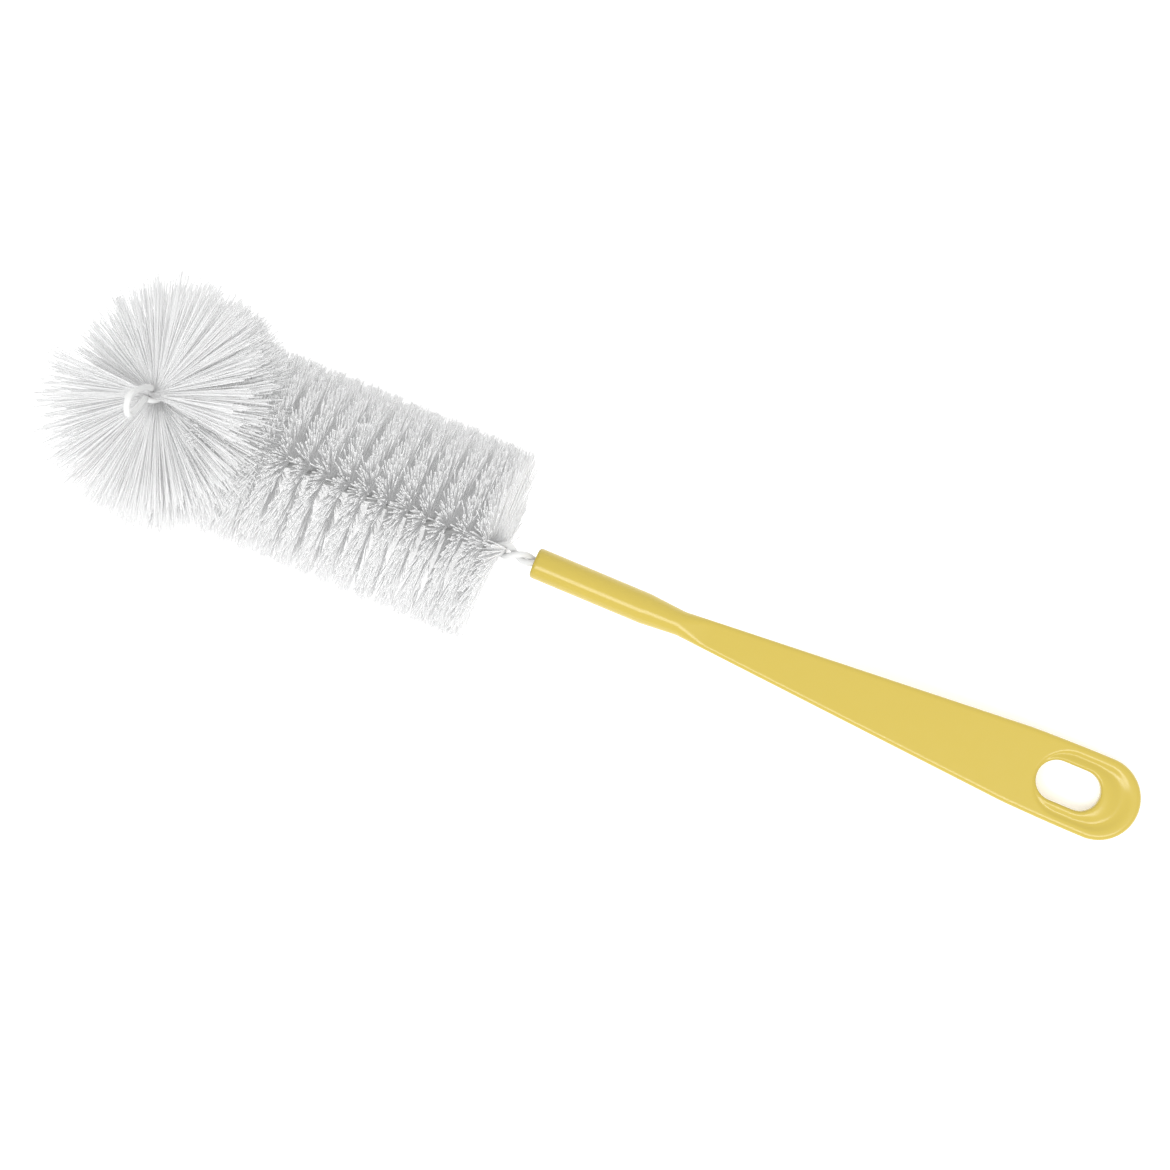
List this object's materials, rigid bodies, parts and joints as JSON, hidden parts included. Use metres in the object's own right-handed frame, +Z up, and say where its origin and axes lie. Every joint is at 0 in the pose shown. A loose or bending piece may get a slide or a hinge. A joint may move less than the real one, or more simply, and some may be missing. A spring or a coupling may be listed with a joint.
{
  "type": "bottle brush",
  "caption": "Twisted-wire bottle brush with white plastic filaments, a bent-up rosette at the tip and a long flat handle with a hanging slot.",
  "frame": {"origin": "middle of the bounding box in plan, at the surface that the brush lies on", "axes": "+X along the brush from the rosette to the hanging end of the handle, +Z up out of the surface, which is the way the rosette is bent"},
  "size_m": [0.3448, 0.076, 0.0826],
  "materials": {
    "handle_plastic": "glossy moulded polypropylene, warm yellow",
    "steel_wire": "galvanised drawn wire",
    "wire_coat": "smooth white extruded coat",
    "bristle": "milky translucent nylon filament, satin"
  },
  "bodies": {
    "root": {"handle": "handle_plastic", "wire_core": "steel_wire", "wire_jacket": "wire_coat", "body_row_01": "bristle", "body_row_02": "bristle", "body_row_03": "bristle", "body_row_04": "bristle", "body_row_05": "bristle", "body_row_06": "bristle", "body_row_07": "bristle", "body_row_08": "bristle", "body_row_09": "bristle", "body_row_10": "bristle", "body_row_11": "bristle", "body_row_12": "bristle", "body_row_13": "bristle", "body_row_14": "bristle", "body_row_15": "bristle", "bend_row_01": "bristle", "bend_row_02": "bristle", "tip_row_01": "bristle", "tip_row_02": "bristle", "tip_row_03": "bristle"}
  },
  "joints": []
}
